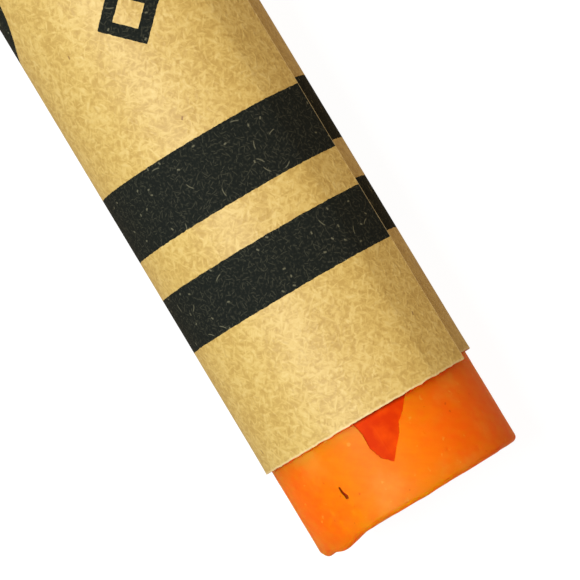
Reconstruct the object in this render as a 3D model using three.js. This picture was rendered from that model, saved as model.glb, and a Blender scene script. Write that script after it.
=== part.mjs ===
// A wax crayon lying on a table: a moulded stick, the printed sheet of paper that is rolled
// round it a little over twice, and the coat of starch paste on the back of that sheet.
// Millimetres, +Z up. The stick's axis runs along X, with the marking tip towards +X. The
// origin is on the table, under the middle of the stick.

import * as THREE from "three";
import { mergeVertices } from "three/addons/utils/BufferGeometryUtils.js";

// ---- Driving dimensions ----

// The stick
const STICK_LENGTH = 92;
const STICK_DIAMETER = 7.6;
const BUTT_EDGE_RADIUS = 0.2;
const CONE_LENGTH = 10.5;
const SHOULDER_LEDGE = 0.45; // how far the cone's foot stands in from the body
const SHOULDER_EDGE_RADIUS = 0.3;
const NOSE_DIAMETER = 2.9; // where the cone would meet the flat nose with no rounding
const NOSE_EDGE_RADIUS = 0.6;

// The sheet of paper
const PAPER_THICKNESS = 0.075;
const LABEL_TURNS = 2.07; // how often the sheet goes round, to the nearest side
const BARE_BUTT = 3.2; // wax that shows between the butt and the sheet's outer corner
const BARE_BODY = 7.8; // straight wax that shows between the sheet's inner corner and the cone
const WINDING_SKEW = 0.24; // how far the sheet creeps towards the butt in one turn
const SEAM_ANGLE = 150.5; // degrees from +Y, over the top, to the sheet's outer edge

// The paste on the back of the sheet
const PASTE_THICKNESS = 0.007;
const PASTE_MARGIN = 0.4; // bare paper along each edge of the sheet, to the nearest side
const CONTACT_GAP = 0.0015; // left on each side of the paste, so that no two solids touch

// How finely round shapes are divided
const SIDES = 36;
const ARC_STEPS = 5;

// ---- Sizes that follow from them ----

const STICK_RADIUS = STICK_DIAMETER / 2;
const SHOULDER_AT = STICK_LENGTH - CONE_LENGTH;
const SHEET_INNER_RADIUS = STICK_RADIUS + PASTE_THICKNESS + 2 * CONTACT_GAP;
const TURN_PITCH = PAPER_THICKNESS + PASTE_THICKNESS + 2 * CONTACT_GAP;

// The stick, each turn of the sheet and the paste have their corners at the same angles, a side
// apart and counted back from the seam, so that the layers lie face to face.
const SIDE_ANGLE = (2 * Math.PI) / SIDES;
const SEAM = THREE.MathUtils.degToRad(SEAM_ANGLE);
const SHEET_SIDES = Math.round(SIDES * LABEL_TURNS);
const SHEET_START = SEAM - SHEET_SIDES * SIDE_ANGLE;
const WHOLE_CREEP = (WINDING_SKEW * SHEET_SIDES) / SIDES;
const LABEL_LENGTH = SHOULDER_AT - BARE_BUTT - WHOLE_CREEP - BARE_BODY; // along the stick

/** Radius of the sheet's inner face, this many sides on from its inner edge. */
function innerFace(sides) {
  return SHEET_INNER_RADIUS + (TURN_PITCH * sides) / SIDES;
}

/** Distance from the axis down to the table: the lowest corner of the rolled sheet. */
function axisHeight() {
  let lowest = 0;
  for (let side = 0; side <= SHEET_SIDES; side++) {
    const outerFace = innerFace(side) + PAPER_THICKNESS;
    lowest = Math.min(lowest, outerFace * Math.sin(SHEET_START + side * SIDE_ANGLE));
  }
  return -lowest;
}

// ---- Stick ----

/** Adds the points of a rounded corner to a profile. The centre is (r, x), angles in degrees. */
function addArc(profile, r, x, radius, from, to) {
  for (let i = 0; i <= ARC_STEPS; i++) {
    const a = THREE.MathUtils.degToRad(from + ((to - from) * i) / ARC_STEPS);
    profile.push(new THREE.Vector2(r + radius * Math.cos(a), x + radius * Math.sin(a)));
  }
}

/** The moulded stick: flat butt, straight body, small ledge, and a cone with a flat nose. */
function stickGeometry() {
  const footRadius = STICK_RADIUS - SHOULDER_LEDGE;
  const noseRadius = NOSE_DIAMETER / 2;
  const slope = Math.atan2(footRadius - noseRadius, CONE_LENGTH);
  // The rounding at the nose is tangent to the cone and to the flat.
  const noseCentre = noseRadius - NOSE_EDGE_RADIUS * Math.tan((Math.PI / 2 - slope) / 2);

  const profile = [new THREE.Vector2(0, 0)];
  addArc(profile, STICK_RADIUS - BUTT_EDGE_RADIUS, BUTT_EDGE_RADIUS, BUTT_EDGE_RADIUS, -90, 0);
  addArc(
    profile,
    STICK_RADIUS - SHOULDER_EDGE_RADIUS,
    SHOULDER_AT - SHOULDER_EDGE_RADIUS,
    SHOULDER_EDGE_RADIUS,
    0,
    90,
  );
  profile.push(new THREE.Vector2(footRadius, SHOULDER_AT));
  addArc(
    profile,
    noseCentre,
    STICK_LENGTH - NOSE_EDGE_RADIUS,
    NOSE_EDGE_RADIUS,
    THREE.MathUtils.radToDeg(slope),
    90,
  );
  profile.push(new THREE.Vector2(0, STICK_LENGTH));
  return new THREE.LatheGeometry(profile, SIDES)
    .rotateZ(-Math.PI / 2)
    .rotateX(SEAM - Math.PI / 2);
}

// ---- Sheet and paste ----

/**
 * Rolls a flat layer round the stick. The flat layer is a box whose X runs round the stick,
 * whose Y runs along it and whose Z points outwards. The layer covers the sides from firstSide
 * to lastSide, and its inner face stands off the sheet's inner face by standOff.
 */
function rolledLayer({ firstSide, lastSide, standOff, thickness, from, length }) {
  const flat = new THREE.BoxGeometry(1, length, thickness, lastSide - firstSide, 1, 1);
  flat.deleteAttribute("normal");
  flat.deleteAttribute("uv");
  const rolled = mergeVertices(flat);
  const position = rolled.getAttribute("position");
  for (let i = 0; i < position.count; i++) {
    const side = THREE.MathUtils.lerp(firstSide, lastSide, position.getX(i) + 0.5);
    const angle = SHEET_START + side * SIDE_ANGLE;
    const radius = innerFace(side) + standOff + thickness / 2 + position.getZ(i);
    const creep = (WINDING_SKEW * (SHEET_SIDES - side)) / SIDES;
    position.setXYZ(
      i,
      from + length / 2 + position.getY(i) + creep,
      radius * Math.cos(angle),
      radius * Math.sin(angle),
    );
  }
  rolled.computeVertexNormals();
  return rolled;
}

/** The printed sheet, from its inner edge on the stick to its outer edge at the seam. */
function labelGeometry() {
  return rolledLayer({
    firstSide: 0,
    lastSide: SHEET_SIDES,
    standOff: 0,
    thickness: PAPER_THICKNESS,
    from: BARE_BUTT,
    length: LABEL_LENGTH,
  });
}

/** The coat of paste between the sheet's back and whatever it lies on. */
function pasteGeometry() {
  const marginSides = Math.max(1, Math.round(PASTE_MARGIN / (STICK_RADIUS * SIDE_ANGLE)));
  return rolledLayer({
    firstSide: marginSides,
    lastSide: SHEET_SIDES - marginSides,
    standOff: -CONTACT_GAP - PASTE_THICKNESS,
    thickness: PASTE_THICKNESS,
    from: BARE_BUTT + PASTE_MARGIN,
    length: LABEL_LENGTH - 2 * PASTE_MARGIN,
  });
}

// ---- Materials ----

const wax = new THREE.MeshStandardMaterial({ color: "#f57a1a", roughness: 0.42, metalness: 0 });
const paper = new THREE.MeshStandardMaterial({ color: "#d9bd7c", roughness: 0.85, metalness: 0 });
const paste = new THREE.MeshStandardMaterial({ color: "#e8e0cc", roughness: 0.6, metalness: 0 });

// ---- Assembly ----

/** A named piece of the crayon. */
function piece(name, geometry, material) {
  const mesh = new THREE.Mesh(geometry, material);
  mesh.name = name;
  return mesh;
}

const crayon = new THREE.Group();
crayon.position.set(-STICK_LENGTH / 2, 0, axisHeight());
crayon.add(
  piece("wax_stick", stickGeometry(), wax),
  piece("paper_label", labelGeometry(), paper),
  piece("label_paste", pasteGeometry(), paste),
);

const part = new THREE.Group();
part.add(crayon);

export default part;
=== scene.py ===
# A wax crayon lying on a pale floor, seen from above its butt end: a moulded wax stick, the
# printed sheet of kraft paper that is rolled round it, and the film of paste under the sheet.
import math

import bmesh
import bpy
from mathutils import Matrix, Vector, noise


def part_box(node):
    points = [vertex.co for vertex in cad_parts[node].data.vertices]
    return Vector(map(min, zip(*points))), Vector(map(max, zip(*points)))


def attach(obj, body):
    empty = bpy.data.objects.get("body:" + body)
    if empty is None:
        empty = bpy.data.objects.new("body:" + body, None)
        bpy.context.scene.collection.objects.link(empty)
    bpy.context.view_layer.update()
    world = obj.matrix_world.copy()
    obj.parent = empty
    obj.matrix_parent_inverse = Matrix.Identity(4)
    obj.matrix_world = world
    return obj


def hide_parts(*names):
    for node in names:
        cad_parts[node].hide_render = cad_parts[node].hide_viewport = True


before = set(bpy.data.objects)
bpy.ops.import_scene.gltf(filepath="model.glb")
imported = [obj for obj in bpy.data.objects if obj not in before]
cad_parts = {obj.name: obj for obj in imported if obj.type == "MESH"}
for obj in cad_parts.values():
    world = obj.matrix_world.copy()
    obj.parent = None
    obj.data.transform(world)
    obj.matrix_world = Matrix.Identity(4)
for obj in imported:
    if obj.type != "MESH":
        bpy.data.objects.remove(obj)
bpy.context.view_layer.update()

bl_info = {
    "name": "Wax Crayon",
    "version": (1, 0, 0),
    "blender": (4, 5, 0),
    "location": "View3D > Sidebar > Crayon",
    "description": "Makes a moulded wax crayon with its rolled, pasted and printed paper label",
    "category": "Add Mesh",
}

MM = 0.001
TURN = 2 * math.pi

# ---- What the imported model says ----

STICK_LOW, STICK_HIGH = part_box("wax_stick")
SHEET_LOW, SHEET_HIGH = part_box("paper_label")
AXIS_HEIGHT = (STICK_LOW.z + STICK_HIGH.z) / 2


def farthest_out(name):
    """Distance from the stick's axis, and angle from +Y over the top, of a node's outermost corner."""
    corners = [(math.hypot(v.co.y, v.co.z - AXIS_HEIGHT), v.co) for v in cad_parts[name].data.vertices]
    distance, corner = max(corners, key=lambda c: c[0])
    return distance, math.atan2(corner.z - AXIS_HEIGHT, corner.y)


STICK_RADIUS, _ = farthest_out("wax_stick")
_, SEAM_ANGLE = farthest_out("paper_label")


# ---- Sizes and colours that a user would change ----


def linear(hex_code):
    """An sRGB hex value as linear red, green and blue."""
    shares = [int(hex_code[i : i + 2], 16) / 255 for i in (1, 3, 5)]
    return tuple(s / 12.92 if s <= 0.04045 else ((s + 0.055) / 1.055) ** 2.4 for s in shares)


def length(name, description, default):
    """A length property, in metres."""
    return bpy.props.FloatProperty(
        name=name, description=description, default=default, unit="LENGTH", precision=6
    )


def angle(name, description, default):
    """An angle property, from degrees."""
    return bpy.props.FloatProperty(
        name=name, description=description, default=math.radians(default), subtype="ANGLE"
    )


def watts(name, description, default):
    """A light's power, in watts."""
    return bpy.props.FloatProperty(name=name, description=description, default=default, unit="POWER")


def factor(name, description, default):
    """A share, from 0 to 1."""
    return bpy.props.FloatProperty(
        name=name, description=description, default=default, subtype="FACTOR", min=0, max=1
    )


def colour(name, description, default):
    """A colour property, from an sRGB hex value."""
    return bpy.props.FloatVectorProperty(
        name=name, description=description, default=linear(default), subtype="COLOR", min=0, max=1
    )


class StickSettings(bpy.types.PropertyGroup):
    """The moulded wax stick"""

    radius: length("Radius", "Radius of the straight body", STICK_RADIUS)
    butt_rounding: length("Butt rounding", "Radius of the edge round the butt", 0.2 * MM)
    cone: length("Cone", "Length of the marking tip's cone", 10.5 * MM)
    ledge: length("Ledge", "How far the cone's foot stands in from the body", 0.45 * MM)
    shoulder_rounding: length("Shoulder rounding", "Radius of the edge at the ledge", 0.3 * MM)
    nose_radius: length("Nose radius", "Radius of the blunt nose", 1.45 * MM)
    nose_rounding: length("Nose rounding", "Radius of the edge round the nose", 0.6 * MM)
    dimple: length("Dimple", "How far the middle of the butt has shrunk in", 0.16 * MM)
    flake_depth: length("Flake depth", "How deep the flaked patch by the label is", 0.045 * MM)
    nick_depth: length("Nick depth", "How deep the small nick is", 0.08 * MM)
    # wax is also the colour of the painted highlight along the lit top; deep_wax_and_side_shade is deeper
    # wax in random streaks and torn patches, and also painted shade towards the sides
    wax: colour("Wax", "Pigmented paraffin wax", "#ff8400")
    deep_wax_and_side_shade: colour("Deep wax", "The same wax where its skin is thin", "#ff6700")
    fresh_wax: colour("Fresh wax", "Wax under the skin, where a flake has come off", "#ce3200")
    bloom: colour("Bloom", "Pale bloom on the wax's skin", "#ffb24a")
    # the nick's floor colours: dark red-brown painted shade in the recess, with lighter red in random
    # specks
    nick_shade: colour("Dirt", "Dirt pressed into the nick", "#86190a")
    thin_nick_shade: colour("Thin dirt", "The same dirt where wax shows through it", "#b83c10")


class LabelSettings(bpy.types.PropertyGroup):
    """The rolled and pasted paper label"""

    thickness: length("Paper thickness", "Thickness of the sheet", 0.075 * MM)
    paste: length("Paste thickness", "Thickness of the film of paste", 0.007 * MM)
    slack: length("Slack", "Gap on each side of the paste", 0.0015 * MM)
    overlap: angle("Overlap", "How far the outer edge passes the inner edge, past two whole turns", 24.7)
    creep: length("Creep", "How far the sheet moves towards the butt in one turn", 0.24 * MM)
    climb: angle("Climb", "Arc in which a turn climbs over the sheet's inner edge", 32)
    tent: length("Tent", "How far the last turn stands off at that edge", 0.055 * MM)
    flatness: factor("Flatness", "How flat the flap at the seam lies", 0.55)
    paper: colour("Paper", "Unbleached kraft paper", "#ceb061")
    pale_fibre: colour("Pale fibre", "Lighter fibres on the paper's face", "#dfc782")
    dark_fibre: colour("Dark fibre", "Darker fibres in the pulp", "#ae8b42")
    shive: colour("Shive", "Specks of bark in the pulp", "#74451c")
    # pale_edge_and_highlight: frayed fibres on the back and cut edges; on the printed face it is a band
    # that is partly frayed fibres and partly a painted highlight along the cut edge
    pale_edge_and_highlight: colour("Cut edge", "Frayed fibres at the cut edges", "#ecd6a2")
    ink: colour("Ink", "Black letterpress ink", "#191d1a")
    thin_ink: colour("Thin ink", "The same ink where it hardly covers a fibre", "#8c8a70")
    thick_paste: colour("Thick paste", "Dried paste between the strokes of the brush", "#efe9d6")
    thin_paste: colour("Thin paste", "The same paste where the brush left little", "#d9cda9")


class StageSettings(bpy.types.PropertyGroup):
    """The floor, the light and the camera"""

    key_angle: angle("Key light angle", "How far the key light leans to the +Y side", 22)
    key_pitch: angle("Key light pitch", "How far the key light leans to the marking tip", 12)
    key_distance: length("Key light distance", "From the crayon to the key light", 0.42)
    key_size: length("Key light size", "Side of the square key light", 0.17)
    key_power: watts("Key light power", "Power of the key light", 2.1)
    key_tint: colour("Key light tint", "A neutral white", "#ffffff")
    fill_angle: angle("Fill light angle", "How far the fill light leans to the -Y side", 48)
    fill_size: length("Fill light size", "Side of the square fill light", 0.272)
    fill_power: watts("Fill light power", "Power of the fill light", 0.38)
    fill_tint: colour("Fill light tint", "Light that a warm wall throws back", "#ffcf88")
    rim_angle: angle("Side light angle", "How far the side light leans to the +Y side", 76)
    rim_pitch: angle("Side light pitch", "How far the side light leans to the butt", 40)
    rim_power: watts("Side light power", "Power of the side light", 0.16)
    rim_tint: colour("Side light tint", "A cool window light", "#e2ecff")
    room: colour("Room", "What the room's plain walls throw on the crayon", "#625f5a")
    glow: colour("Floor glow", "What the floor throws on the crayon", "#b59b76")
    camera_height: length("Camera height", "Above the stick's axis", 0.155)


# ---- Tools for making meshes ----


def finish(piece, name, *materials):
    """Names a piece, applies its place and gives it materials."""
    piece.name = piece.data.name = name
    bpy.ops.object.select_all(action="DESELECT")
    piece.select_set(True)
    bpy.context.view_layer.objects.active = piece
    bpy.ops.object.transform_apply(location=True, rotation=True, scale=True)
    for material in materials:
        piece.data.materials.append(material)
    return piece


def new_primitive(add_primitive, **settings):
    """Adds a primitive with nothing else selected, applies its place and returns it."""
    bpy.ops.object.select_all(action="DESELECT")
    add_primitive(**settings)
    bpy.ops.object.transform_apply(location=True, rotation=True, scale=True)
    return bpy.context.active_object


def edit(piece, kind):
    """Goes into edit mode on one piece alone, with nothing in it selected, picking VERT, EDGE or FACE."""
    bpy.ops.object.select_all(action="DESELECT")
    piece.select_set(True)
    bpy.context.view_layer.objects.active = piece
    bpy.ops.object.mode_set(mode="EDIT")
    bpy.ops.mesh.select_mode(type=kind)
    bpy.ops.mesh.select_all(action="DESELECT")


def pick(piece, kind, wanted):
    """In edit mode, selects the vertices, edges or faces that are wanted and nothing else."""
    bpy.ops.mesh.select_mode(type=kind)
    bpy.ops.mesh.select_all(action="DESELECT")
    shape = bmesh.from_edit_mesh(piece.data)
    parts = {"VERT": shape.verts, "EDGE": shape.edges, "FACE": shape.faces}[kind]
    for part in parts:
        if wanted(part):
            part.select_set(True)
    shape.select_flush_mode()
    bmesh.update_edit_mesh(piece.data)


def apply_modifier(piece, kind, **settings):
    """Adds a modifier with its settings and applies it."""
    bpy.context.view_layer.objects.active = piece
    modifier = piece.modifiers.new(kind.title(), kind)
    for key, value in settings.items():
        setattr(modifier, key, value)
    bpy.ops.object.modifier_apply(modifier=modifier.name)


def off_axis(point):
    """Distance of a point from the stick's axis."""
    return math.hypot(point.y, point.z - AXIS_HEIGHT)


# ---- Wax stick ----

SIDES = 360
BUTT_X, NOSE_X = STICK_LOW.x, STICK_HIGH.x
LABEL_BUTT_X, LABEL_TIP_X = SHEET_LOW.x, SHEET_HIGH.x
CLOSE = 0.02 * MM  # two places nearer than this are the same place
UNDER_LABEL = 0.8 * MM  # how far the fine rows of faces reach under each end of the label


def on_ring(edge, x, radius):
    """True for an edge of the ring at x with this radius."""
    return all(abs(v.co.x - x) < CLOSE and abs(off_axis(v.co) - radius) < CLOSE for v in edge.verts)


def lengthwise(edge, x_from, x_to):
    """True for an edge that runs along the stick, inside a stretch of it."""
    a, b = sorted(v.co.x for v in edge.verts)
    return b - a > 2 * CLOSE and a > x_from - CLOSE and b < x_to + CLOSE


def close_cap(piece, x, rings, width, depth):
    """Insets the flat cap at x in rings, each a share of the depth further in, and closes its middle."""
    facing = 1 if x > 0 else -1
    pick(piece, "FACE", lambda f: len(f.verts) > 4 and f.normal.x * facing > 0.9)
    for ring in range(rings):
        rise = math.sin(math.pi * (ring + 1) / (rings + 1))
        bpy.ops.mesh.inset(thickness=width / rings, depth=-depth * rise * math.pi / (2 * rings))
    bpy.ops.mesh.merge(type="COLLAPSE")


def turned_body(s):
    """The plain stick: a cylinder with a ledge, a cone and rounded edges, and rows where it needs them."""
    shoulder_x = NOSE_X - s.cone
    piece = new_primitive(
        bpy.ops.mesh.primitive_cylinder_add,
        vertices=SIDES,
        radius=s.radius,
        depth=shoulder_x - BUTT_X,
        end_fill_type="NGON",
        location=((shoulder_x + BUTT_X) / 2, 0, AXIS_HEIGHT),
        rotation=(0, math.pi / 2, 0),
    )
    edit(piece, "FACE")
    pick(piece, "FACE", lambda f: f.normal.x > 0.9)
    bpy.ops.mesh.inset(thickness=s.ledge)
    bpy.ops.mesh.extrude_region_move(TRANSFORM_OT_translate={"value": (s.cone, 0, 0)})
    narrowing = s.nose_radius / (s.radius - s.ledge)
    bpy.ops.transform.resize(value=(1, narrowing, narrowing), center_override=(NOSE_X, 0, AXIS_HEIGHT))

    for x, radius, rounding, steps in (
        (NOSE_X, s.nose_radius, s.nose_rounding, 8),
        (shoulder_x, s.radius, s.shoulder_rounding, 5),
        (BUTT_X, s.radius, s.butt_rounding, 6),
    ):
        pick(piece, "EDGE", lambda e: on_ring(e, x, radius))
        bpy.ops.mesh.bevel(offset=rounding, segments=steps, affect="EDGES")

    fine_to, hidden_to = LABEL_BUTT_X + UNDER_LABEL, LABEL_TIP_X - UNDER_LABEL
    for x in (fine_to, hidden_to):
        bpy.ops.mesh.select_all(action="SELECT")
        bpy.ops.mesh.bisect(plane_co=(x, 0, AXIS_HEIGHT), plane_no=(1, 0, 0))
    for x_from, x_to, cuts in (
        (BUTT_X + s.butt_rounding, fine_to, 66),
        (fine_to, hidden_to, 10),
        (hidden_to, shoulder_x - s.shoulder_rounding, 36),
        (shoulder_x, NOSE_X - s.nose_rounding * 0.9, 40),
    ):
        pick(piece, "EDGE", lambda e: lengthwise(e, x_from, x_to))
        bpy.ops.mesh.subdivide(number_cuts=cuts)

    butt_flat = s.radius - s.butt_rounding
    close_cap(piece, BUTT_X, rings=12, width=butt_flat - 0.1 * MM, depth=s.dimple)
    close_cap(piece, NOSE_X, rings=6, width=0.7 * MM, depth=0)
    bpy.ops.object.mode_set(mode="OBJECT")
    return piece


def surface_cutter(s, outline, depth):
    """A cutter for a patch of the body, its floor this deep and as round as the body. The outline's
    points are (distance from the label's edge towards the butt, distance to the +Y side), in mm."""
    start_z = AXIS_HEIGHT + s.radius / 4
    corners = [(LABEL_BUTT_X - along * MM, side * MM, start_z) for along, side in outline]
    mesh = bpy.data.meshes.new("cutter")
    mesh.from_pydata(corners, [], [range(len(corners))])
    cutter = bpy.data.objects.new("cutter", mesh)
    bpy.context.collection.objects.link(cutter)
    edit(cutter, "FACE")
    bpy.ops.mesh.select_all(action="SELECT")
    bpy.ops.mesh.extrude_region_move(TRANSFORM_OT_translate={"value": (0, 0, 1.5 * s.radius)})
    bpy.ops.mesh.select_all(action="SELECT")
    bpy.ops.mesh.normals_make_consistent(inside=False)
    bpy.ops.object.mode_set(mode="OBJECT")
    core = new_primitive(
        bpy.ops.mesh.primitive_cylinder_add,
        vertices=SIDES,
        radius=s.radius - depth,
        depth=4 * s.radius,
        location=(LABEL_BUTT_X, 0, AXIS_HEIGHT),
        rotation=(0, math.pi / 2, 0),
    )
    apply_modifier(cutter, "BOOLEAN", object=core, operation="DIFFERENCE", solver="EXACT")
    bpy.data.objects.remove(core)
    return cutter


# Each mark on the wax near the label: its outline and how deep it goes, in mm.
FLAKE = (
    (-0.4, 0.66), (0, 0.63), (0.42, 0.55), (0.92, 0.57), (1.37, 0.42), (1.67, 0.11),
    (1.26, -0.22), (0.97, -0.5), (0.64, -0.67), (0.42, -0.95), (0, -1.29), (-0.4, -1.5),
)
NICK = (
    (1.5, 2.11), (1.7, 2.12), (1.8, 2.08), (1.93, 2.08),
    (1.95, 2.01), (1.86, 1.99), (1.7, 2.06), (1.5, 2.08),
)


def cut_mark(piece, s, outline, depth, material):
    """Cuts a mark into the wax. Its floor takes the material."""
    cutter = surface_cutter(s, outline, depth)
    cutter.data.materials.append(material)
    apply_modifier(
        piece, "BOOLEAN", object=cutter, operation="DIFFERENCE", solver="EXACT", material_mode="TRANSFER"
    )
    bpy.data.objects.remove(cutter)


# Places where the wax was pushed in or out: along the stick from the butt and round it from the
# top towards +Y in degrees, how far round each it reaches, and how far it moves along -X and out.
PUSHES = (
    (0.1, 54, 1.3, 0.2, 0.0),  # burr on the butt's edge
    (0.1, 74, 0.8, 0.14, 0.0),
    (0.0, 22, 0.6, -0.05, -0.02),  # where the butt's edge is worn
    (0.0, -4, 0.5, 0.03, 0.0),
    (0.0, -22, 0.5, -0.03, -0.01),
    (0.0, -60, 0.5, -0.03, -0.01),
    (0.62, 37, 0.5, 0.0, -0.07),  # shallow dents by the burr
    (0.9, 50, 0.5, 0.0, -0.07),
    (0.95, -25, 0.12, 0.0, -0.04),
    (0.48, -41, 0.12, 0.0, -0.035),
    (1.8, -18, 0.1, 0.0, 0.015),
    (1.4, -57, 0.12, 0.0, 0.015),
)


def push_wax(piece, s):
    """Moves the wax at each of the places above, less and less towards the edge of its reach."""
    for along, turn, reach, back, out in PUSHES:
        turn = math.radians(turn)
        outward = Vector((0, math.sin(turn), math.cos(turn)))
        centre = Vector((BUTT_X + along * MM, 0, AXIS_HEIGHT)) + outward * s.radius
        for v in piece.data.vertices:
            share = 1 - (v.co - centre).length / (reach * MM)
            if share > 0:
                ease = share * share * (3 - 2 * share)
                v.co += (outward * out - Vector((back, 0, 0))) * (ease * MM)
    piece.data.update()


def roughen(piece, name, size, amount):
    """Lets an even surface sink here and there, by up to an amount, in patches of about a size."""
    texture = bpy.data.textures.new(name, "CLOUDS")
    texture.noise_scale = size
    apply_modifier(
        piece, "DISPLACE", texture=texture, texture_coords="LOCAL", strength=amount, mid_level=1
    )
    bpy.data.textures.remove(texture)


class CRAYON_OT_wax_stick(bpy.types.Operator):
    """Makes the moulded wax stick"""

    bl_idname = "crayon.wax_stick"
    bl_label = "Wax stick"

    def execute(self, context):
        s = context.scene.crayon_stick
        piece = turned_body(s)
        finish(piece, "moulded_stick", moulded_wax(s))
        cut_mark(piece, s, FLAKE, s.flake_depth, torn_wax(s))
        cut_mark(piece, s, NICK, s.nick_depth, painted_nick_shade(s))
        roughen(piece, "mould waves", size=2.6 * MM, amount=0.03 * MM)
        roughen(piece, "mould grain", size=0.5 * MM, amount=0.006 * MM)
        push_wax(piece, s)
        bpy.ops.object.shade_smooth_by_angle(angle=math.radians(35))
        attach(piece, "root")
        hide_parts("wax_stick")
        return {"FINISHED"}


# ---- Sheet and paste ----


class Roll:
    """How the sheet lies: two turns and an overlap, each a layer further out than the one before."""

    def __init__(self, s):
        self.pitch = s.thickness + s.paste + 2 * s.slack
        self.first = STICK_RADIUS + s.paste + 2 * s.slack + s.thickness
        self.overlap = s.overlap
        self.wound = 2 * TURN + s.overlap
        self.start = SEAM_ANGLE - self.wound
        self.creep = s.creep / TURN
        self.length = LABEL_TIP_X - LABEL_BUTT_X - self.creep * self.wound
        self.climb = s.climb
        self.tent = s.tent
        self.flatness = s.flatness
        self.arc_radius = self.first + self.pitch  # turns an angle on the outer turn into a length

    def outer_face(self, wound):
        """Distance from the axis to the sheet's outer face, this far round from its inner edge."""
        radius = self.first
        for turn, rise in ((1, self.pitch), (2, self.pitch + self.tent)):
            share = (wound - turn * TURN) / self.climb + 1
            share = min(max(share, 0), 1)
            radius += rise * share * share * (3 - 2 * share)
        flap = wound - 2 * TURN
        if flap > 0:  # past the inner edge, the sheet lies nearly flat to its outer edge
            sag = 1 - math.cos(self.overlap / 2) / math.cos(flap - self.overlap / 2)
            radius *= 1 - self.flatness * sag
        return radius

    def place(self, along, wound, inwards, lift=0):
        """The point this far along the sheet from its butt end, this far round and this far in."""
        turn = self.start + wound
        radius = self.outer_face(wound) - inwards + lift
        x = LABEL_BUTT_X + along + self.creep * (self.wound - wound)
        return Vector((x, radius * math.cos(turn), AXIS_HEIGHT + radius * math.sin(turn)))


COARSE_RAG, FINE_RAG, SIDE_RAG = 0.35 * MM, 0.12 * MM, 0.5 * MM  # how long the tears in an edge are
END_REACH, SIDE_REACH = 0.12 * MM, 0.1 * MM  # how far in from an end and from the outer edge they go
LOOSE_PATCH = 6 * MM  # how long the looser and the tighter stretches of an edge are
END_LIFT_REACH, SIDE_LIFT_REACH = 0.35 * MM, 0.3 * MM  # how far in the sheet is lifted


def edge_share(from_edge, reach):
    """1 at an edge, falling to 0 over about this reach."""
    return math.exp(-from_edge / reach)


def rolled_sheet(roll, columns, rows, crowding, margin, inwards, ragged, lifted):
    """Rolls a flat grid round the stick. Its rows crowd towards the two ends, its edges are ragged
    by an amount, and its outer edge and ends may lift. It keeps its flat coordinates."""
    piece = new_primitive(
        bpy.ops.mesh.primitive_grid_add, x_subdivisions=rows, y_subdivisions=columns, size=1
    )
    flat = piece.data.attributes.new("flat", "FLOAT_VECTOR", "POINT")
    round_margin = margin / roll.arc_radius
    for vertex, coordinates in zip(piece.data.vertices, flat.data):
        t, around = vertex.co.x + 0.5, vertex.co.y + 0.5
        t -= crowding * math.sin(TURN * t) / TURN
        along = margin + t * (roll.length - 2 * margin)
        wound = round_margin + around * (roll.wound - 2 * round_margin)
        from_edge = (roll.wound - wound) * roll.arc_radius
        coordinates.vector = (along, from_edge, 0)
        to_butt, to_tip = along, roll.length - along
        outermost = 1 if roll.wound - wound < TURN else 0
        rag = noise.noise(Vector((0, from_edge / COARSE_RAG, 0)))
        rag += 0.6 * noise.noise(Vector((3, from_edge / FINE_RAG, 0)))
        along += ragged * rag * (edge_share(to_butt, END_REACH) - edge_share(to_tip, END_REACH))
        side_rag = noise.noise(Vector((along / SIDE_RAG, 7, 0)))
        wound += 0.4 * ragged / roll.arc_radius * side_rag * edge_share(from_edge, SIDE_REACH)
        loose = 0.5 + 0.5 * noise.noise(Vector((along / LOOSE_PATCH, from_edge / LOOSE_PATCH, 2)))
        ends = edge_share(min(to_butt, to_tip), END_LIFT_REACH)
        lift = lifted * outermost * loose * (edge_share(from_edge, SIDE_LIFT_REACH) + 0.7 * ends)
        vertex.co = roll.place(along, wound, inwards, lift)
    return piece


def face_outwards(piece):
    """Turns the faces of an open rolled sheet outwards."""
    edit(piece, "FACE")
    face = bmesh.from_edit_mesh(piece.data).faces
    face.ensure_lookup_table()
    middle = face[0].calc_center_median()
    inside_out = face[0].normal.dot(Vector((0, middle.y, middle.z - AXIS_HEIGHT))) < 0
    bpy.ops.mesh.select_all(action="SELECT")
    if inside_out:
        bpy.ops.mesh.flip_normals()
    bpy.ops.object.mode_set(mode="OBJECT")


class CRAYON_OT_paper_label(bpy.types.Operator):
    """Makes the printed sheet, rolled round the stick"""

    bl_idname = "crayon.paper_label"
    bl_label = "Paper label"

    def execute(self, context):
        s = context.scene.crayon_label
        roll = Roll(s)
        piece = rolled_sheet(
            roll,
            columns=600,
            rows=54,
            crowding=0.93,
            margin=0,
            inwards=0,
            ragged=0.03 * MM,
            lifted=0.03 * MM,
        )
        face_outwards(piece)
        apply_modifier(
            piece,
            "SOLIDIFY",
            thickness=s.thickness,
            offset=-1,
            use_even_offset=True,
            material_offset=1,
            material_offset_rim=1,
        )
        finish(piece, "rolled_label", printed_kraft(s, roll), plain_kraft(s))
        bpy.ops.object.shade_smooth_by_angle(angle=math.radians(40))
        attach(piece, "root")
        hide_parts("paper_label")
        return {"FINISHED"}


class CRAYON_OT_label_paste(bpy.types.Operator):
    """Makes the film of paste on the back of the sheet"""

    bl_idname = "crayon.label_paste"
    bl_label = "Label paste"

    def execute(self, context):
        s = context.scene.crayon_label
        roll = Roll(s)
        piece = rolled_sheet(
            roll,
            columns=480,
            rows=24,
            crowding=0.9,
            margin=0.4 * MM,
            inwards=s.thickness + s.slack,
            ragged=0.12 * MM,
            lifted=0,
        )
        face_outwards(piece)
        apply_modifier(piece, "SOLIDIFY", thickness=s.paste, offset=-1)
        finish(piece, "paste_film", dried_paste(s))
        bpy.ops.object.shade_smooth_by_angle(angle=math.radians(40))
        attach(piece, "root")
        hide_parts("label_paste")
        return {"FINISHED"}


# ---- Materials ----


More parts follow.
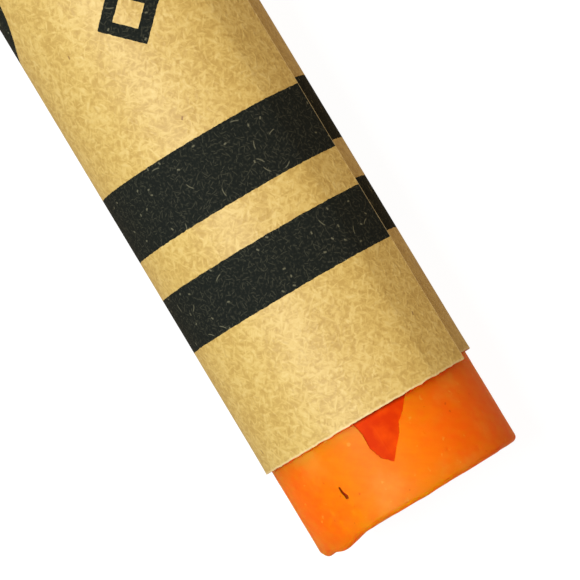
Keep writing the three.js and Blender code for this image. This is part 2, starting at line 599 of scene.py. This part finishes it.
def new_material(name):
    """A new material and its empty node tree."""
    material = bpy.data.materials.new(name)
    material.use_nodes = True
    material.node_tree.nodes.clear()
    return material, material.node_tree


def add(tree, kind, inputs, **settings):
    """Adds a shader node with its settings. An input is a value, a node for its first output, or a
    node and the output's name or number."""
    made = tree.nodes.new("ShaderNode" + kind)
    for key, value in settings.items():
        setattr(made, key, value)
    for socket, value in inputs.items():
        if isinstance(value, bpy.types.Node):
            value = (value, 0)
        if isinstance(value, tuple) and isinstance(value[0], bpy.types.Node):
            tree.links.new(value[0].outputs[value[1]], made.inputs[socket])
        else:
            made.inputs[socket].default_value = value
    return made


RESULT = 2  # the colour output of a Mix node; its colour inputs are 6 and 7


def opaque(rgb):
    """A colour with full alpha."""
    return (*rgb, 1)


def blend(tree, share, below, above):
    """Lays one colour over another by a share."""
    made = add(tree, "Mix", {0: share, 6: below, 7: above}, data_type="RGBA")
    return (made, RESULT)


def share_of(tree, mask, share):
    """A weaker copy of a mask."""
    return add(tree, "Math", {0: mask, 1: share}, operation="MULTIPLY")


def object_mm(tree):
    """Object coordinates in millimetres, so a pattern's scale is one over its size."""
    place = add(tree, "TexCoord", {})
    return add(tree, "VectorMath", {0: (place, "Object"), 3: 1 / MM}, operation="SCALE")


def flat_mm(tree):
    """The place on the flat sheet in millimetres: along it, and in from the outer edge."""
    flat = add(tree, "Attribute", {}, attribute_name="flat")
    return add(tree, "VectorMath", {0: (flat, "Vector"), 3: 1 / MM}, operation="SCALE")


def apart(tree, value, target):
    """How far a value is from a target."""
    difference = add(tree, "Math", {0: value, 1: target}, operation="SUBTRACT")
    return add(tree, "Math", {0: difference}, operation="ABSOLUTE")


LIT_TOP_AT = 0.5  # the middle of the lit top, where the wax is painted palest as a painted highlight, to the +Y side, in mm


def moulded_wax(s):
    """Paraffin wax, moulded. Light sinks in and comes out again, red furthest, so shade stays warm; the
    skin is satin, with streaks and patches of pale bloom. Its colour is painted paler along the lit top and
    deeper towards the sides, as painted highlight and painted shade."""
    material, tree = new_material("moulded wax")
    mm = object_mm(tree)

    patches = add(tree, "TexNoise", {"Vector": mm, "Scale": 1 / 1.8, "Detail": 4, "Roughness": 0.6})
    bloom = add(
        tree, "MapRange", {0: patches, 1: 0.5, 2: 0.72, 3: 0.0, 4: 0.22}, interpolation_type="SMOOTHSTEP"
    )
    spots = add(tree, "TexNoise", {"Vector": mm, "Scale": 1 / 0.3, "Detail": 2})
    spot = add(
        tree, "MapRange", {0: spots, 1: 0.68, 2: 0.76, 3: 0.0, 4: 0.45}, interpolation_type="SMOOTHSTEP"
    )
    pale = add(tree, "Math", {0: bloom, 1: spot}, operation="ADD", use_clamp=True)
    streaks = add(
        tree,
        "Mapping",
        {"Vector": mm, "Rotation": (0, 0, 0.9), "Scale": (0.7, 0.26, 0.4)},
        vector_type="TEXTURE",
    )
    streak = add(tree, "TexNoise", {"Vector": streaks, "Scale": 1, "Detail": 4})
    uneven = add(tree, "MapRange", {0: streak, 1: 0.35, 2: 0.65, 3: 0.0, 4: 0.3})
    # painted light and shade: the wax is painted paler along the top and deeper and darker towards both
    # sides, where less light falls
    across = add(tree, "SeparateXYZ", {0: mm})
    off_top = apart(tree, (across, "Y"), LIT_TOP_AT)
    side_shade = add(
        tree, "MapRange", {0: off_top, 1: 1.2, 2: 2.8, 3: 0.1, 4: 0.75}, interpolation_type="SMOOTHSTEP"
    )
    depth = add(tree, "Math", {0: uneven, 1: side_shade}, operation="ADD", use_clamp=True)
    body = blend(tree, depth, opaque(s.wax), opaque(s.deep_wax_and_side_shade))
    skin = blend(tree, pale, body, opaque(s.bloom))
    speck = add(
        tree, "MapRange", {0: spots, 1: 0.28, 2: 0.23, 3: 0.0, 4: 0.4}, interpolation_type="SMOOTHSTEP"
    )
    skin = blend(tree, speck, skin, opaque(s.fresh_wax))

    roughness = add(tree, "MapRange", {0: streak, 1: 0.3, 2: 0.7, 3: 0.48, 4: 0.56})
    grain = add(tree, "TexNoise", {"Vector": mm, "Scale": 1 / 0.12, "Detail": 3})
    height = add(tree, "Math", {0: grain, 1: streak}, operation="ADD")
    bump = add(tree, "Bump", {"Height": height, "Strength": 0.5, "Distance": 0.006 * MM})
    shader = add(
        tree,
        "BsdfPrincipled",
        {
            "Base Color": skin,
            "Roughness": roughness,
            "Normal": bump,
            "IOR": 1.44,
            "Specular IOR Level": 0.14,
            "Subsurface Weight": 1.0,
            "Subsurface Radius": (1.0, 0.04, 0.013),
            "Subsurface Scale": 3.4 * MM,
        },
    )
    add(tree, "OutputMaterial", {"Surface": shader})
    return material


def torn_wax(s):
    """Wax under the skin, where a flake was pulled off. It is deeper in colour, and duller."""
    material, tree = new_material("torn wax")
    mm = object_mm(tree)
    patches = add(tree, "TexNoise", {"Vector": mm, "Scale": 1 / 0.5, "Detail": 3})
    patch = add(tree, "MapRange", {0: patches, 1: 0.4, 2: 0.7, 3: 0.0, 4: 0.3})
    shader = add(
        tree,
        "BsdfPrincipled",
        {
            "Base Color": blend(tree, patch, opaque(s.fresh_wax), opaque(s.deep_wax_and_side_shade)),
            "Roughness": 0.6,
            "IOR": 1.44,
            "Specular IOR Level": 0.05,
            "Subsurface Weight": 0.3,
            "Subsurface Radius": (1.0, 0.2, 0.05),
            "Subsurface Scale": 0.3 * MM,
        },
    )
    add(tree, "OutputMaterial", {"Surface": shader})
    return material


def painted_nick_shade(s):
    """The floor of a nick in the wax, painted dark red-brown and dull as painted shade in the recess."""
    material, tree = new_material("dirt in wax")
    mm = object_mm(tree)
    specks = add(tree, "TexNoise", {"Vector": mm, "Scale": 1 / 0.08, "Detail": 2})
    # painted shade: the nick's floor is painted dark red-brown, with lighter red specks
    tone = blend(tree, specks, opaque(s.nick_shade), opaque(s.thin_nick_shade))
    shader = add(tree, "BsdfPrincipled", {"Base Color": tone, "Roughness": 0.8, "Specular IOR Level": 0})
    add(tree, "OutputMaterial", {"Surface": shader})
    return material


def fibre_layer(tree, mm, cell, size, curl, kept, offset):
    """Separate fibres on the flat sheet, one in each cell, each at its own angle. size is a fibre's
    length and width, curl is how much it bows, and kept is the share of cells that have one."""
    moved = add(tree, "VectorMath", {0: mm, 1: (offset, offset * 0.7, 0)}, operation="ADD")
    cells = add(tree, "TexVoronoi", {"Vector": moved, "Scale": 1 / cell}, voronoi_dimensions="2D")
    chance = add(tree, "SeparateColor", {0: (cells, "Color")})
    from_middle = add(tree, "VectorMath", {0: moved, 1: (cells, "Position")}, operation="SUBTRACT")
    turn = add(tree, "Math", {0: (chance, "Red"), 1: TURN}, operation="MULTIPLY")
    turned = add(tree, "VectorRotate", {"Vector": from_middle, "Angle": turn}, rotation_type="Z_AXIS")
    own = add(tree, "SeparateXYZ", {0: turned})
    square = add(tree, "Math", {0: own, 1: own}, operation="MULTIPLY")
    bow = add(tree, "Math", {0: square, 1: curl, 2: (own, "Y")}, operation="MULTIPLY_ADD")
    across = add(tree, "Math", {0: bow}, operation="ABSOLUTE")
    endwise = add(tree, "Math", {0: own}, operation="ABSOLUTE")
    length_of, width_of = size
    body = add(
        tree, "MapRange", {0: across, 1: 0, 2: width_of * 0.6, 3: 1, 4: 0}, interpolation_type="SMOOTHSTEP"
    )
    ends = add(tree, "MapRange", {0: endwise, 1: length_of * 0.3, 2: length_of * 0.5, 3: 1, 4: 0})
    present = add(tree, "Math", {0: (chance, "Green"), 1: kept}, operation="LESS_THAN")
    shape = add(tree, "Math", {0: body, 1: ends}, operation="MULTIPLY")
    return add(tree, "Math", {0: shape, 1: present}, operation="MULTIPLY")


def strongest(tree, layers):
    """The strongest of several masks."""
    most = layers[0]
    for layer in layers[1:]:
        most = add(tree, "Math", {0: most, 1: layer}, operation="MAXIMUM")
    return most


# Fibres on the sheet, in millimetres: (cell, length, width, curl, share of cells that have one).
PALE_FIBRES = ((0.26, 0.3, 0.13, 0.8, 0.6), (0.42, 0.5, 0.12, -0.7, 0.45))
DARK_FIBRES = ((0.34, 0.3, 0.1, 1.0, 0.5), (0.6, 0.42, 0.12, -0.7, 0.45))
SHIVES = ((2.6, 0.17, 0.09, 0.8, 0.4),)
RAISED_FIBRES = ((0.17, 0.16, 0.04, 1.0, 0.6), (0.3, 0.3, 0.035, -1.2, 0.5))
BARE_SPOTS = ((0.45, 0.12, 0.08, 0.6, 0.25), (0.8, 0.34, 0.045, 0.9, 0.3))
FELT_TURNS = (35, 82, 142)  # the ways that most of the pulp lies, in degrees


def fibres(tree, mm, table, offset):
    """All the layers of fibres in a table."""
    layers = [
        fibre_layer(tree, mm, cell, (length_of, width_of), curl, kept, offset + 7.3 * i)
        for i, (cell, length_of, width_of, curl, kept) in enumerate(table)
    ]
    return strongest(tree, layers)


def kraft_face(tree, s, mm):
    """The colour and the height of a kraft paper's face: uneven pulp, with pale and dark fibres
    felted together. mm is the flat place in millimetres."""
    cloud = add(tree, "TexNoise", {"Vector": mm, "Scale": 1 / 1.1, "Detail": 3, "Roughness": 0.6})
    strokes = []
    for turn in FELT_TURNS:
        lying = add(
            tree,
            "Mapping",
            {"Vector": mm, "Rotation": (0, 0, math.radians(turn)), "Scale": (0.36, 0.15, 1)},
            vector_type="TEXTURE",
        )
        strokes.append(add(tree, "TexNoise", {"Vector": lying, "Scale": 1, "Detail": 2, "Distortion": 0.5}))
    felt = strongest(tree, strokes)
    pulp = add(tree, "Math", {0: felt, 1: 3, 2: cloud}, operation="MULTIPLY_ADD")
    dark = add(tree, "MapRange", {0: pulp, 1: 1.8, 2: 2.4, 3: 0.6, 4: 0.0}, interpolation_type="SMOOTHSTEP")
    ground = blend(tree, dark, opaque(s.paper), opaque(s.dark_fibre))
    bright = add(
        tree, "MapRange", {0: pulp, 1: 2.15, 2: 2.85, 3: 0.0, 4: 0.5}, interpolation_type="SMOOTHSTEP"
    )
    ground = blend(tree, bright, ground, opaque(s.pale_fibre))
    pale = fibres(tree, mm, PALE_FIBRES, 0.0)
    light = add(tree, "MapRange", {0: pulp, 1: 2.0, 2: 2.7, 3: 0.03, 4: 0.2})
    pale_share = add(tree, "Math", {0: pale, 1: light}, operation="MULTIPLY")
    fibrous = blend(tree, pale_share, ground, opaque(s.pale_fibre))
    strands = fibres(tree, mm, DARK_FIBRES, 23.1)
    face = blend(tree, share_of(tree, strands, 0.4), fibrous, opaque(s.dark_fibre))
    shives = fibres(tree, mm, SHIVES, 87.7)
    face = blend(tree, share_of(tree, shives, 0.75), face, opaque(s.shive))
    height = add(tree, "Math", {0: felt, 1: 3, 2: pale}, operation="MULTIPLY_ADD")
    return face, height


# The printed pattern, in millimetres on the flat sheet: two rings at each end, as distances from
# that end, and a row of lozenges and a blank panel between them, placed round from the outer edge.
RINGS = ((4.7, 6.72), (8.18, 10.6))
LOZENGE_WIDTH, LOZENGE_STROKE = 2.4, 0.42
LOZENGES_FROM, LOZENGES_PER_HALF = 13.7, 7
PANEL_FROM, PANEL_WIDTH, PANEL_CORNER = 15.8, 7.0, 2.4
PANEL_TURN = math.radians(61.5)  # from the lozenges' middle line to the panel
INK_FRAY = 0.05  # how far the ink strays at its edges
SIDE_SCUFF = 3  # the pale scuff and painted edge highlight reach this many times as far in from the ends as from the outer edge


def nearer_end(tree, along, half_length):
    """Distance to the nearer end of the sheet."""
    off_middle = apart(tree, along, half_length)
    return add(tree, "Math", {0: half_length, 1: off_middle}, operation="SUBTRACT")


def ring_print(tree, to_end):
    """Two plain rings near each end of the sheet."""
    return strongest(
        tree,
        [
            add(tree, "Math", {0: to_end, 1: (low + high) / 2, 2: (high - low) / 2}, operation="COMPARE")
            for low, high in RINGS
        ],
    )


def lozenge_print(tree, to_end, around, middle_line, half_length):
    """A row of outlined lozenges along the sheet."""
    pitch = (half_length - LOZENGES_FROM) / LOZENGES_PER_HALF
    reached = add(tree, "Math", {0: to_end, 1: LOZENGES_FROM}, operation="SUBTRACT")
    step = add(tree, "Math", {0: reached, 1: pitch}, operation="FLOORED_MODULO")
    along = apart(tree, step, pitch / 2)
    across = apart(tree, around, middle_line)
    reach = add(tree, "Math", {0: along, 1: across}, operation="ADD")
    half_stroke = LOZENGE_STROKE / math.sqrt(2)
    line = add(
        tree, "Math", {0: reach, 1: LOZENGE_WIDTH / 2 - half_stroke, 2: half_stroke}, operation="COMPARE"
    )
    inside = add(tree, "Math", {0: reached, 1: 0}, operation="GREATER_THAN")
    return add(tree, "Math", {0: line, 1: inside}, operation="MULTIPLY")


def panel_print(tree, to_end, around, near_edge):
    """A solid panel with round corners, from near_edge round the sheet."""
    across = apart(tree, around, near_edge + PANEL_WIDTH / 2)
    side = add(tree, "Math", {0: across, 1: PANEL_WIDTH / 2 - PANEL_CORNER}, operation="SUBTRACT")
    side = add(tree, "Math", {0: side, 1: 0}, operation="MAXIMUM")
    end = add(tree, "Math", {0: PANEL_FROM + PANEL_CORNER, 1: to_end}, operation="SUBTRACT")
    end = add(tree, "Math", {0: end, 1: 0}, operation="MAXIMUM")
    corner = add(tree, "CombineXYZ", {0: side, 1: end})
    reach = add(tree, "VectorMath", {0: corner}, operation="LENGTH")
    return add(tree, "Math", {0: (reach, "Value"), 1: PANEL_CORNER}, operation="LESS_THAN")


def printed_kraft(s, roll):
    """Unbleached kraft paper printed in one black. The paper is matt, with fibres lying on its
    face; the ink sinks in, misses pinholes and raised fibres, and frays a little at its edges."""
    material, tree = new_material("printed kraft paper")
    mm = flat_mm(tree)
    face, height = kraft_face(tree, s, mm)

    fray = add(tree, "TexNoise", {"Vector": mm, "Scale": 1 / 0.2, "Detail": 2}, noise_dimensions="2D")
    swing = add(tree, "VectorMath", {0: (fray, "Color"), 1: (0.5, 0.5, 0.5)}, operation="SUBTRACT")
    sway = add(tree, "VectorMath", {0: swing, 3: INK_FRAY}, operation="SCALE")
    frayed = add(tree, "VectorMath", {0: mm, 1: sway}, operation="ADD")
    place = add(tree, "SeparateXYZ", {0: frayed})
    half_length = roll.length / MM / 2
    to_end = nearer_end(tree, place, half_length)
    around = (place, "Y")
    top = (SEAM_ANGLE - math.pi / 2) * roll.arc_radius / MM  # from the outer edge to the top
    panel_edge = top + PANEL_TURN * roll.arc_radius / MM
    printed = strongest(
        tree,
        [
            ring_print(tree, to_end),
            lozenge_print(tree, to_end, around, top, half_length),
            panel_print(tree, to_end, around, panel_edge),
        ],
    )

    raised = share_of(tree, fibres(tree, mm, RAISED_FIBRES, 41.3), 0.14)
    missed = share_of(tree, fibres(tree, mm, BARE_SPOTS, 61.7), 0.5)
    grain = add(tree, "TexNoise", {"Vector": mm, "Scale": 1 / 0.09, "Detail": 2})
    thin = add(tree, "MapRange", {0: grain, 1: 0.5, 2: 0.75, 3: 0.0, 4: 0.09})
    ink = blend(tree, strongest(tree, [raised, missed, thin]), opaque(s.ink), opaque(s.thin_ink))
    tone = blend(tree, printed, face, ink)

    # the cut ends and the outer edge: paler frayed fibres, and a painted highlight where light catches the
    # cut edge
    true_place = add(tree, "SeparateXYZ", {0: mm})
    cut_end = nearer_end(tree, true_place, half_length)
    cut_side = add(tree, "Math", {0: (true_place, "Y"), 1: SIDE_SCUFF}, operation="MULTIPLY")
    cut = add(tree, "Math", {0: cut_end, 1: cut_side}, operation="MINIMUM")
    scuff_and_highlight = add(
        tree, "MapRange", {0: cut, 1: 0.035, 2: 0.09, 3: 0.5, 4: 0.0}, interpolation_type="SMOOTHSTEP"
    )
    tone = blend(tree, scuff_and_highlight, tone, opaque(s.pale_edge_and_highlight))

    bump = add(tree, "Bump", {"Height": height, "Strength": 0.5, "Distance": 0.012 * MM})
    sheen = add(tree, "MapRange", {0: printed, 1: 0, 2: 1, 3: 0.55, 4: 0.08})
    roughness = add(tree, "MapRange", {0: printed, 1: 0, 2: 1, 3: 0.58, 4: 0.9})
    shader = add(
        tree,
        "BsdfPrincipled",
        {"Base Color": tone, "Roughness": roughness, "Normal": bump, "Specular IOR Level": sheen},
    )
    add(tree, "OutputMaterial", {"Surface": shader})
    return material


def plain_kraft(s):
    """The back and the cut edges of the kraft paper: unprinted, and paler where fibres are cut."""
    material, tree = new_material("cut kraft paper")
    mm = flat_mm(tree)
    fuzz = add(tree, "TexNoise", {"Vector": mm, "Scale": 1 / 0.12, "Detail": 3})
    tone = blend(tree, fuzz, opaque(s.paper), opaque(s.pale_edge_and_highlight))
    bump = add(tree, "Bump", {"Height": fuzz, "Strength": 0.6, "Distance": 0.01 * MM})
    shader = add(
        tree,
        "BsdfPrincipled",
        {"Base Color": tone, "Roughness": 0.9, "Normal": bump, "Specular IOR Level": 0.16},
    )
    add(tree, "OutputMaterial", {"Surface": shader})
    return material


def dried_paste(s):
    """Starch paste, brushed on and dried. It is a cloudy off-white with a dull shine."""
    material, tree = new_material("dried starch paste")
    mm = flat_mm(tree)
    strokes = add(tree, "Mapping", {"Vector": mm, "Scale": (0.4, 4, 1)})
    brushed = add(tree, "TexNoise", {"Vector": strokes, "Scale": 1, "Detail": 4})
    tone = blend(tree, brushed, opaque(s.thin_paste), opaque(s.thick_paste))
    shader = add(tree, "BsdfPrincipled", {"Base Color": tone, "Roughness": 0.55})
    add(tree, "OutputMaterial", {"Surface": shader})
    return material


# ---- Stage ----


FLOOR_WHITE = (0.96, 0.96, 0.96)


def white_floor(s):
    """A floor of pale card. It is overexposed to a plain white, with a faint shade by the crayon."""
    material, tree = new_material("pale floor")
    path = add(tree, "LightPath", {})
    tone = blend(tree, path, opaque(s.glow), opaque(FLOOR_WHITE))
    glow = add(tree, "Emission", {"Color": tone, "Strength": 1})
    card = add(tree, "BsdfDiffuse", {"Color": (0.12, 0.12, 0.12, 1)})
    both = add(tree, "AddShader", {0: glow, 1: card})
    add(tree, "OutputMaterial", {"Surface": both})
    return material


def plain_room(s):
    """Pale walls. They are overexposed to the floor's white for the camera, and dim as a light."""
    room = bpy.data.worlds.new("plain room")
    room.use_nodes = True
    tree = room.node_tree
    tree.nodes.clear()
    path = add(tree, "LightPath", {})
    tone = blend(tree, path, opaque(s.room), opaque(FLOOR_WHITE))
    light = add(tree, "Background", {"Color": tone})
    add(tree, "OutputWorld", {"Surface": light})
    return room


def aim(thing, target, image_up):
    """Turns a camera or a light at a target, with its top towards image_up."""
    forward = (target - thing.location).normalized()
    right = forward.cross(image_up).normalized()
    up = right.cross(forward)
    thing.rotation_euler = Matrix((right, up, -forward)).transposed().to_euler()


# The camera's frame: the stick lies across it at this angle below the level, butt at the lower right.
VIEW_SLOPE = math.radians(58.97)
VIEW_SPAN = 19.3 * MM  # what the frame's side takes in, at the stick's axis
FOOT_PAST_LABEL = 0.6 * MM  # the camera stands over this point, from the label's edge to the butt
CENTRE_PAST_LABEL = -4.96 * MM  # and looks at this one
CENTRE_ASIDE = 0.15 * MM


class CRAYON_OT_stage(bpy.types.Operator):
    """Makes the floor, the lights and the camera"""

    bl_idname = "crayon.stage"
    bl_label = "Stage"

    def execute(self, context):
        s = context.scene.crayon_stage
        floor = new_primitive(bpy.ops.mesh.primitive_plane_add, size=6)
        finish(floor, "floor", white_floor(s))

        context.scene.view_settings.view_transform = "Standard"
        context.scene.world = plain_room(s)

        along_x = Vector((1, 0, 0))
        lit = Vector((LABEL_BUTT_X, 0, AXIS_HEIGHT))
        for turn, pitch, size, power, tint in (
            (s.key_angle, s.key_pitch, s.key_size, s.key_power, s.key_tint),
            (-s.fill_angle, 0, s.fill_size, s.fill_power, s.fill_tint),
            (s.rim_angle, -s.rim_pitch, s.key_size, s.rim_power, s.rim_tint),
        ):
            lean = Vector((math.tan(pitch), math.sin(turn), math.cos(turn))).normalized()
            bpy.ops.object.light_add(type="AREA", location=lit + lean * s.key_distance)
            light = context.active_object
            light.data.size = size
            light.data.energy = power
            light.data.color = tint
            aim(light, lit, along_x)

        image_up = Vector((math.sin(VIEW_SLOPE), -math.cos(VIEW_SLOPE), 0))
        foot_x = LABEL_BUTT_X - FOOT_PAST_LABEL
        bpy.ops.object.camera_add(location=(foot_x, 0, AXIS_HEIGHT + s.camera_height))
        camera = context.active_object
        aim(camera, Vector((LABEL_BUTT_X - CENTRE_PAST_LABEL, CENTRE_ASIDE, AXIS_HEIGHT)), image_up)
        camera.data.lens = camera.data.sensor_width * s.camera_height / VIEW_SPAN
        camera.data.clip_start = 0.01
        context.scene.camera = camera
        return {"FINISHED"}


# ---- Add-on ----


class VIEW3D_PT_crayon(bpy.types.Panel):
    """Lists the crayon's pieces"""

    bl_label = "Wax crayon"
    bl_space_type = "VIEW_3D"
    bl_region_type = "UI"
    bl_category = "Crayon"

    def draw(self, context):
        for operator in PIECES:
            self.layout.operator(operator.bl_idname)
        for name in SETTINGS:
            settings = getattr(context.scene, name)
            box = self.layout.box()
            for key in settings.bl_rna.properties.keys()[2:]:  # past the two that every group has
                box.prop(settings, key)


PIECES = (CRAYON_OT_wax_stick, CRAYON_OT_paper_label, CRAYON_OT_label_paste, CRAYON_OT_stage)
SETTINGS = {"crayon_stick": StickSettings, "crayon_label": LabelSettings, "crayon_stage": StageSettings}


def register():
    for kind in (*SETTINGS.values(), *PIECES, VIEW3D_PT_crayon):
        bpy.utils.register_class(kind)
    for name, kind in SETTINGS.items():
        setattr(bpy.types.Scene, name, bpy.props.PointerProperty(type=kind))


def unregister():
    for name in SETTINGS:
        delattr(bpy.types.Scene, name)
    for kind in (VIEW3D_PT_crayon, *reversed(PIECES), *reversed(SETTINGS.values())):
        bpy.utils.unregister_class(kind)


def main():
    """Makes every piece and the stage."""
    register()
    bpy.ops.crayon.wax_stick()
    bpy.ops.crayon.paper_label()
    bpy.ops.crayon.label_paste()
    bpy.ops.crayon.stage()


if __name__ == "__main__":
    main()
